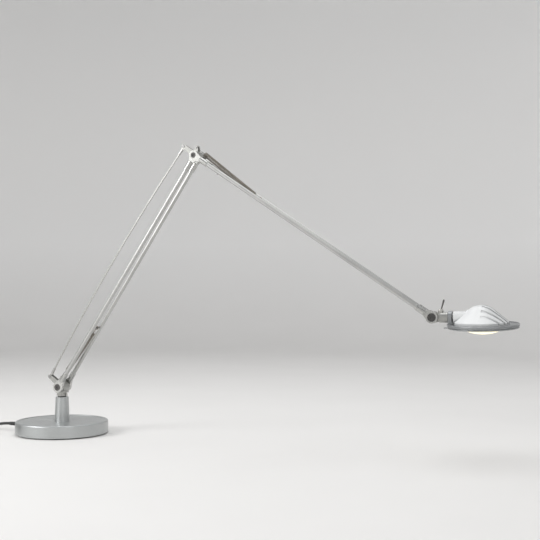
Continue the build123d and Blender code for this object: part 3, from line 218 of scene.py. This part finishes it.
def frosted_glass(name):
    """The lens: warm white diffusing glass, lit from behind, pressed with fine rings and frosting."""
    n = Nodes(name)
    frost = n.noise(scale=1400, detail=3)
    to_middle = tuple(-distance for distance in LENS_CENTRE)
    centred = n.add("ShaderNodeMapping", {"Vector": n.place, "Location": to_middle})
    rings = n.add(
        "ShaderNodeTexWave", {"Vector": centred.outputs["Vector"], "Scale": 160.0},
        wave_type="RINGS", rings_direction="Z",
    ).outputs["Fac"]
    pressed = n.combine("ShaderNodeMath", "ADD", rings, frost)
    cloud = n.spread(n.noise(scale=90, detail=3), 0, 1)
    n.link(n.blend(cloud, (0.88, 0.86, 0.75), (0.84, 0.81, 0.68)), "Base Color")
    n.link(n.spread(frost, 0.25, 0.45), "Roughness")
    n.fix(transmission_weight=0.35, emission_color=(1.0, 0.93, 0.64, 1), emission_strength=0.5)
    n.shader.inputs["IOR"].default_value = 1.5
    n.bump(pressed, strength=0.35, distance=0.0003)
    return n.material


def clear_glass(name):
    """The capsule of the lamp, hardly marked."""
    n = Nodes(name)
    n.fix(base_color=(0.97, 0.97, 0.96, 1), transmission_weight=1.0)
    n.shader.inputs["IOR"].default_value = 1.47
    n.link(n.spread(n.noise(scale=160, detail=3), 0.02, 0.1), "Roughness")
    return n.material


MATERIALS = {
    "satin_silver": flake_paint(
        "satin_silver", (0.5, 0.515, 0.515), (0.42, 0.435, 0.435), (0.33, 0.43),
        metallic=0.85, worn=(0.74, 0.75, 0.75),
    ),
    "steel_plate": metal("steel_plate", (0.4, 0.4, 0.4), (0.32, 0.32, 0.33), (0.35, 0.5), 300),
    "pad_rubber": moulding(
        "pad_rubber", (0.02, 0.02, 0.02), (0.035, 0.035, 0.035), (0.7, 0.9), 900,
    ),
    "ballast_iron": metal("ballast_iron", (0.16, 0.16, 0.17), (0.1, 0.1, 0.1), (0.6, 0.8), 400),
    "transformer_case": moulding(
        "transformer_case", (0.05, 0.05, 0.05), (0.07, 0.07, 0.07), (0.5, 0.6), 700,
    ),
    "fastener_steel": metal(
        "fastener_steel", (0.36, 0.36, 0.36), (0.26, 0.26, 0.26), (0.28, 0.42), 900,
    ),
    "cap_dark": metal("cap_dark", (0.13, 0.125, 0.12), (0.08, 0.08, 0.08), (0.3, 0.42), 900),
    "bush_plastic": moulding(
        "bush_plastic", (0.05, 0.05, 0.05), (0.07, 0.07, 0.07), (0.4, 0.5), 800,
    ),
    "cast_grey": flake_paint(
        "cast_grey", (0.4, 0.4, 0.382), (0.31, 0.31, 0.293), (0.28, 0.4),
        metallic=0.85, worn=(0.7, 0.7, 0.68),
    ),
    "polished_metal": metal(
        "polished_metal", (0.52, 0.52, 0.505), (0.44, 0.44, 0.425), (0.22, 0.34), 500,
        worn=(0.85, 0.85, 0.83),
    ),
    "tube_metal": metal("tube_metal", (0.52, 0.52, 0.508), (0.45, 0.45, 0.44), (0.33, 0.39), 400),
    "rod_steel": metal("rod_steel", (0.54, 0.54, 0.52), (0.46, 0.46, 0.44), (0.32, 0.4), 600),
    "spring_steel": metal("spring_steel", (0.36, 0.33, 0.29), (0.24, 0.22, 0.19), (0.3, 0.45), 900),
    "nickel": metal("nickel", (0.6, 0.59, 0.56), (0.48, 0.47, 0.44), (0.2, 0.34), 700),
    "head_grey": flake_paint(
        "head_grey", (0.31, 0.32, 0.33), (0.24, 0.25, 0.255), (0.3, 0.42),
        metallic=0.75, worn=(0.74, 0.75, 0.76),
    ),
    "cover_white": moulding(
        "cover_white", (0.74, 0.75, 0.75), (0.68, 0.69, 0.69), (0.26, 0.38), 500,
        # the colour of the painted shade in the grooves of the cover
        height=0.00003, painted_shade=(0.2, 0.205, 0.21),
    ),
    "lens_glass": frosted_glass("lens_glass"),
    "reflector_aluminium": metal(
        "reflector_aluminium", (0.8, 0.8, 0.8), (0.7, 0.7, 0.7), (0.1, 0.22), 300,
    ),
    "bulb_glass": clear_glass("bulb_glass"),
    "holder_ceramic": moulding(
        "holder_ceramic", (0.8, 0.79, 0.75), (0.72, 0.71, 0.67), (0.5, 0.7), 700,
    ),
    "cord_rubber": moulding(
        "cord_rubber", (0.02, 0.02, 0.021), (0.035, 0.035, 0.035), (0.38, 0.55), 1200,
    ),
    "plug_plastic": moulding(
        "plug_plastic", (0.022, 0.022, 0.023), (0.04, 0.04, 0.04), (0.35, 0.5), 900,
    ),
    "plug_pin_nickel": metal(
        "plug_pin_nickel", (0.62, 0.6, 0.56), (0.5, 0.48, 0.44), (0.15, 0.28), 700,
    ),
}
SLOT_OF = {row["node"]: row["material_slot"] for row in frame["record"]["subparts"]}
# nodes whose finish in the photograph is another one than that of their slot
FINISH_OF = {
    "hub_cap_screws": "cap_dark",
    "elbow_cap_screws": "cap_dark",
    "head_cap_screws": "cap_dark",
    "stop_pin": "polished_metal",
    "switch_toggle": "cap_dark",
}


def dress_nodes():
    for name, node in nodes.items():
        for slot in node.material_slots:
            slot.material = MATERIALS[FINISH_OF.get(name, SLOT_OF[name])]


def finish_piece(piece, slot, body=None):
    piece.data.materials.clear()
    piece.data.materials.append(MATERIALS[slot])
    if body:
        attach(piece, body)
    return piece


# ---------------------------------------------------------------- mesh helpers
def new_mesh(name, build):
    """A mesh object whose faces build() adds to a bmesh."""
    shape = bmesh.new()
    build(shape)
    bmesh.ops.recalc_face_normals(shape, faces=shape.faces)
    mesh = bpy.data.meshes.new(name)
    shape.to_mesh(mesh)
    shape.free()
    mesh.shade_smooth()
    piece = bpy.data.objects.new(name, mesh)
    bpy.context.collection.objects.link(piece)
    return piece


def ring_into(shape, centre, side, other, radius, sides):
    """A ring of vertices round a centre, in the plane of two directions."""
    return [
        shape.verts.new(centre + (side * cos(turn) + other * sin(turn)) * radius)
        for turn in (2 * pi * step / sides for step in range(sides))
    ]


def skin_into(shape, rings):
    """A band of faces between each ring and the next one."""
    for first, last in zip(rings, rings[1:]):
        for step in range(len(first)):
            after = (step + 1) % len(first)
            shape.faces.new((first[step], first[after], last[after], last[step]))


def tube_into(shape, points, radius, sides):
    """A round tube along points, its rings carried along without twist, capped at both ends."""
    rings = []
    side = None
    for place, point in enumerate(points):
        before = points[max(place - 1, 0)]
        after = points[min(place + 1, len(points) - 1)]
        along = (after - before).normalized()
        if side is None:
            side = along.orthogonal().normalized()
        side = (side - along * side.dot(along)).normalized()
        rings.append(ring_into(shape, point, side, along.cross(side), radius, sides))
    skin_into(shape, rings)
    shape.faces.new(rings[0])
    shape.faces.new(rings[-1])


def lathe_into(shape, origin, axis, profile, sides):
    """A turned form: its profile as (distance along the axis, radius), capped at both ends."""
    axis = axis.normalized()
    side = axis.orthogonal().normalized()
    other = axis.cross(side)
    rings = [
        ring_into(shape, origin + axis * along, side, other, radius, sides)
        for along, radius in profile
    ]
    skin_into(shape, rings)
    shape.faces.new(rings[0])
    shape.faces.new(rings[-1])


# ---------------------------------------------------------------- cord
CORD_RADIUS = 0.0026
CORD_ROUTE = [               # from the strain relief down to the table and into the coil
    (-0.1125, 0.0, 0.0123),
    (-0.1240, 0.0, 0.0123),
    (-0.1460, 0.0009, 0.0082),
    (-0.1700, 0.0005, 0.0034),
    (-0.1920, -0.0010, 0.0027),
    (-0.2108, -0.0010, 0.0027),
]
PLUG_ROUTE = [               # from the coil's top layer down to the plug
    (-0.2108, -0.0734, 0.01995),
    (-0.1970, -0.0734, 0.01995),
    (-0.1790, -0.0744, 0.0124),
    (-0.1620, -0.0734, 0.00675),
    (-0.1480, -0.0734, 0.00675),
]
COIL_CENTRE = (-0.216, -0.0372)
COIL_TURNS = 8.5
COIL_LAYERS = 4
COIL_OUTER_RADIUS = 0.0362
COIL_STEP = 0.0058
COIL_LAYER_RISE = 0.00575
COIL_REST = 0.0027
COIL_CLIMB_TURNS = 0.5       # the part of a turn in which the cord climbs to the next layer
COIL_POINTS_PER_TURN = 20
TIE_ANGLE = radians(205)     # where the strap holds the coil
TIE_WIDTH = 0.007
TIE_THICKNESS = 0.0009
TIE_CORNER = 0.0028
TIE_CORNER_STEPS = 6
TIE_SLACK = 0.0001           # between the strap and the cord
TIE_BOTTOM = 0.0003          # of the strap's inner face, above the table
TIE_LOWEST = 0.00005         # of any point of the strap, above the table
TIE_EDGE = 0.0006            # how far its outer face stands back from its edge
TIE_EDGE_SHARE = 0.6         # of its thickness, where that slope begins


def coil_point(turn):
    """The coil's middle line after a number of turns: in and out again, a layer higher each time."""
    per_layer = COIL_TURNS / COIL_LAYERS
    layer = min(int(turn / per_layer), COIL_LAYERS - 1)
    share = turn / per_layer - layer
    inward = 1 - share if layer % 2 else share
    radius = COIL_OUTER_RADIUS - COIL_STEP * per_layer * inward
    height = layer * COIL_LAYER_RISE
    for reversal in range(1, COIL_LAYERS):
        climb = (turn - reversal * per_layer) / COIL_CLIMB_TURNS + 0.5
        if 0 < climb < 1:
            height = (reversal - 1 + climb * climb * (3 - 2 * climb)) * COIL_LAYER_RISE
    swing = pi / 2 + 2 * pi * turn
    return (
        COIL_CENTRE[0] + radius * cos(swing),
        COIL_CENTRE[1] + radius * sin(swing),
        COIL_REST + height,
    )


def add_tie():
    """The strap round the put-away turns: a closed band with rounded corners and sloped edges."""
    inner = COIL_OUTER_RADIUS - COIL_STEP * COIL_TURNS / COIL_LAYERS - CORD_RADIUS - TIE_SLACK
    outer = COIL_OUTER_RADIUS + CORD_RADIUS + TIE_SLACK
    top = COIL_REST + COIL_LAYER_RISE * (COIL_LAYERS - 1) + CORD_RADIUS + TIE_SLACK
    outward = Vector((cos(TIE_ANGLE), sin(TIE_ANGLE), 0))
    along = Vector((-sin(TIE_ANGLE), cos(TIE_ANGLE), 0))
    centre = Vector((*COIL_CENTRE, 0))
    corners = (
        (outer, TIE_BOTTOM, -pi / 2), (outer, top, 0), (inner, top, pi / 2), (inner, TIE_BOTTOM, pi),
    )

    def loop(grow):
        points = []
        for radius, height, start in corners:
            side = -1 if radius == outer else 1
            lift = 1 if height == TIE_BOTTOM else -1
            bend = Vector((radius + side * TIE_CORNER, height + lift * TIE_CORNER))
            for step in range(TIE_CORNER_STEPS + 1):
                turn = start + step * pi / (2 * TIE_CORNER_STEPS)
                points.append(bend + Vector((cos(turn), sin(turn))) * (TIE_CORNER + grow))
        return [(reach, max(height, TIE_LOWEST)) for reach, height in points]

    def build(shape):
        bands = []
        for grow, inset in ((0, 0), (TIE_THICKNESS * TIE_EDGE_SHARE, 0), (TIE_THICKNESS, TIE_EDGE)):
            for side in (-1, 1):
                shift = along * side * (TIE_WIDTH / 2 - inset)
                bands.append([
                    shape.verts.new(centre + outward * reach + shift + Vector((0, 0, height)))
                    for reach, height in loop(grow)
                ])
        across = (0, 2, 4, 5, 3, 1, 0)
        skin_into(shape, [bands[place] for place in across])

    return finish_piece(new_mesh("coil_tie", build), "pad_rubber", "base")


def add_cord():
    steps = int(COIL_TURNS * COIL_POINTS_PER_TURN)
    coil = [coil_point(step / COIL_POINTS_PER_TURN) for step in range(steps + 1)]
    points = CORD_ROUTE[:-1] + coil + PLUG_ROUTE[1:]
    curve = bpy.data.curves.new("mains_cord", "CURVE")
    curve.dimensions = "3D"
    curve.bevel_depth = CORD_RADIUS
    curve.bevel_resolution = 5
    curve.resolution_u = 6
    curve.use_fill_caps = True
    spline = curve.splines.new("NURBS")
    spline.points.add(len(points) - 1)
    for target, point in zip(spline.points, points):
        target.co = (*point, 1)
    spline.order_u = 3
    spline.use_endpoint_u = True
    cord = bpy.data.objects.new("mains_cord", curve)
    bpy.context.collection.objects.link(cord)
    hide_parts("power_cord", "cord_coil", "plug_lead")
    finish_piece(cord, "cord_rubber", "base")
    add_tie()


# ---------------------------------------------------------------- springs
HUB = Vector((0, 0, 0.0842))
ELBOW = Vector((0.268241, 0, 0.489469))
LOWER_ANCHOR = Vector((0.0712, 0, 0.191771))
UPPER_ANCHOR = Vector((0.384443, 0, 0.411384))
HUB_SPRING_PIN = HUB + Vector((0, 0, 0.015))
ELBOW_SPRING_PIN = ELBOW + Vector((0, 0, 0.0145))
SPRING_RADIUS = 0.0036       # of the middle of the wire
SPRING_WIRE = 0.0015
SPRING_PITCH = 0.0021
SPRING_TAIL = 0.013          # from the anchor pin to the first turn
SPRING_LEAD = 0.019          # from the last turn to the lever's pin
SPRING_STEPS_PER_TURN = 18
SPRING_WIRE_SIDES = 8
PULL_WIRE = 0.0016
PULL_WIRE_SIDES = 12
PULL_LOOP_RADIUS = 0.0043
HOOK_LOOP_RADIUS = 0.00285
EYE_STEPS = 29
PLUG_OUTSIDE = 0.001         # how far the plug stands out of the coil, and reaches into it
PLUG_INSIDE = 0.006
PLUG_GAP = 0.0003            # between the plug and the turns round it
PLUG_RIBS = 7
PLUG_RIB_DEPTH = 0.00025
PLUG_SIDES = 20
SIDEWAYS = Vector((0, 1, 0))


def add_spring(name, anchor, pin):
    """A close-wound extension spring as one round wire."""
    along = (pin - anchor).normalized()
    across = along.cross(SIDEWAYS)
    first, last = SPRING_TAIL, (pin - anchor).length - SPRING_LEAD
    steps = int((last - first) / SPRING_PITCH) * SPRING_STEPS_PER_TURN

    def build(shape):
        points = []
        for step in range(steps + 1):
            swing = 2 * pi * step / SPRING_STEPS_PER_TURN
            place = anchor + along * (first + (last - first) * (step / steps))
            points.append(place + (across * cos(swing) + SIDEWAYS * sin(swing)) * SPRING_RADIUS)
        tube_into(shape, points, SPRING_WIRE / 2, SPRING_WIRE_SIDES)

    spring = new_mesh(name + "_wire", build)
    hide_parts(name)
    finish_piece(spring, "spring_steel")
    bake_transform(spring)


def add_pull(name, eye, toward, loop_radius, shank_from, shank_to, body, slot):
    """A round wire eye on its pin, its shank and the ribbed plug that is screwed into the coil."""
    along = toward.normalized()
    across = along.cross(SIDEWAYS)
    wire = PULL_WIRE / 2

    def build(shape):
        loop = [
            eye + (along * cos(turn) + across * sin(turn)) * loop_radius
            for turn in (2 * pi * step / EYE_STEPS for step in range(1, EYE_STEPS + 1))
        ]
        tube_into(shape, loop, wire, PULL_WIRE_SIDES)
        shank = [eye + along * loop_radius, eye + along * shank_from]
        tube_into(shape, shank, wire, PULL_WIRE_SIDES)
        crest = SPRING_RADIUS - SPRING_WIRE / 2 - PLUG_GAP
        root = crest - PLUG_RIB_DEPTH
        spots = [
            shank_from + (shank_to - shank_from) * step / PLUG_RIBS for step in range(PLUG_RIBS + 1)
        ]
        profile = [(spots[0], wire)]
        for first, last in zip(spots, spots[1:]):
            third = (last - first) / 3
            profile += [
                (first + third / 2, root), (first + third, crest),
                (last - third, crest), (last - third / 2, root),
            ]
        profile.append((spots[-1], wire))
        lathe_into(shape, eye, along, profile, PLUG_SIDES)

    piece = new_mesh(name + "_wire", build)
    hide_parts(name)
    finish_piece(piece, slot, body)


def add_springs():
    for arm, anchor, pin in (
        ("lower", LOWER_ANCHOR, HUB_SPRING_PIN), ("upper", UPPER_ANCHOR, ELBOW_SPRING_PIN),
    ):
        along = pin - anchor
        add_spring(arm + "_spring", anchor, pin)
        add_pull(
            arm + "_spring_hook", anchor, along, HOOK_LOOP_RADIUS,
            SPRING_TAIL - PLUG_OUTSIDE, SPRING_TAIL + PLUG_INSIDE, arm + "_spring", "spring_steel",
        )
        add_pull(
            arm + "_pull_rod", pin, -along, PULL_LOOP_RADIUS,
            SPRING_LEAD - PLUG_OUTSIDE, SPRING_LEAD + PLUG_INSIDE, arm + "_pull_rod", "rod_steel",
        )


# ---------------------------------------------------------------- stage and light
STAGE_MIDDLE = (0.4, 1.2)    # radii of the flat rings round the lamp
STAGE_REACH = 3.4
STAGE_HEIGHT = 2.6
STAGE_BEND = 1.0             # radius of the curve from the floor into the wall
STAGE_BEND_STEPS = 12
STAGE_SIDES = 96
PAPER = ((0.8, 0.79, 0.775), (0.78, 0.77, 0.755))
WALL = (0.93, 0.925, 0.915)
WALL_FULL_HEIGHT = 0.5       # where the floor's colour has gone over into the wall's
ROOM_COLOUR = (0.92, 0.93, 0.95, 1)
ROOM_STRENGTH = (0.08, 0.75)      # on the dark side and on the bright one
BRIGHT_SIDE = (-0.7, 0.35, 0.62)


def add_stage():
    """A round pale floor whose rim curves up into a wall: every side has the same plain ground."""
    n = Nodes("backdrop")
    paper = n.blend(n.spread(n.noise(scale=3, detail=2), 0, 1), *PAPER)
    height = n.add("ShaderNodeSeparateXYZ", {"Vector": n.place}).outputs["Z"]
    wall_share = n.spread(height, 0, 1, near=0, far=WALL_FULL_HEIGHT)
    n.link(n.blend(wall_share, paper, WALL), "Base Color")
    n.fix(roughness=0.75)

    def build(shape):
        flat = STAGE_REACH - STAGE_BEND
        profile = [(radius, 0.0) for radius in (*STAGE_MIDDLE, flat)]
        for step in range(1, STAGE_BEND_STEPS + 1):
            turn = step * pi / (2 * STAGE_BEND_STEPS)
            profile.append((flat + STAGE_BEND * sin(turn), STAGE_BEND - STAGE_BEND * cos(turn)))
        profile.append((STAGE_REACH, STAGE_HEIGHT))
        rings = [
            ring_into(shape, Vector((0, 0, z)), Vector((1, 0, 0)), SIDEWAYS, radius, STAGE_SIDES)
            for radius, z in profile
        ]
        shape.faces.new(rings[0])
        skin_into(shape, rings)

    floor = new_mesh("backdrop", build)
    floor.data.materials.append(n.material)


def add_lamp(name, place, aim, size, power):
    light = bpy.data.lights.new(name, "AREA")
    light.shape = "DISK"
    light.size = size
    light.energy = power
    lamp = bpy.data.objects.new(name, light)
    lamp.location = place
    lamp.rotation_euler = (Vector(aim) - Vector(place)).to_track_quat("-Z", "Y").to_euler()
    bpy.context.collection.objects.link(lamp)


def add_room_light():
    """Darker in front and on the right, as in the photograph, so that round metal shows its form."""
    world = bpy.data.worlds.new("studio")
    bpy.context.scene.world = world
    world.use_nodes = True
    tree = world.node_tree
    ground = tree.nodes["Background"]
    ground.inputs["Color"].default_value = ROOM_COLOUR
    place = tree.nodes.new("ShaderNodeTexCoord").outputs["Generated"]
    toward = tree.nodes.new("ShaderNodeVectorMath")
    toward.operation = "DOT_PRODUCT"
    toward.inputs[1].default_value = BRIGHT_SIDE
    fall = tree.nodes.new("ShaderNodeMapRange")
    for key, value in zip(("From Min", "From Max", "To Min", "To Max"), (-1.0, 1.0, *ROOM_STRENGTH)):
        fall.inputs[key].default_value = value
    tree.links.new(place, toward.inputs[0])
    tree.links.new(toward.outputs["Value"], fall.inputs["Value"])
    tree.links.new(fall.outputs["Result"], ground.inputs["Strength"])


def add_light():
    add_room_light()
    add_lamp("key", place=(-1.1, -1.3, 1.1), aim=(0.2, 0, 0.2), size=0.9, power=17)
    add_lamp("soft", place=(-0.8, -1.7, 0.8), aim=(0.2, 0, 0.2), size=1.6, power=6)
    add_lamp("fill", place=(1.9, -1.7, 0.7), aim=(0.5, 0, 0.2), size=0.8, power=4)
    add_lamp("top", place=(0.3, 0.2, 2.0), aim=(0.3, 0, 0.2), size=2.0, power=16)


add_camera()
add_stage()
add_light()
dress_nodes()
add_cord()
add_springs()

bpy.context.scene.view_settings.view_transform = "Standard"
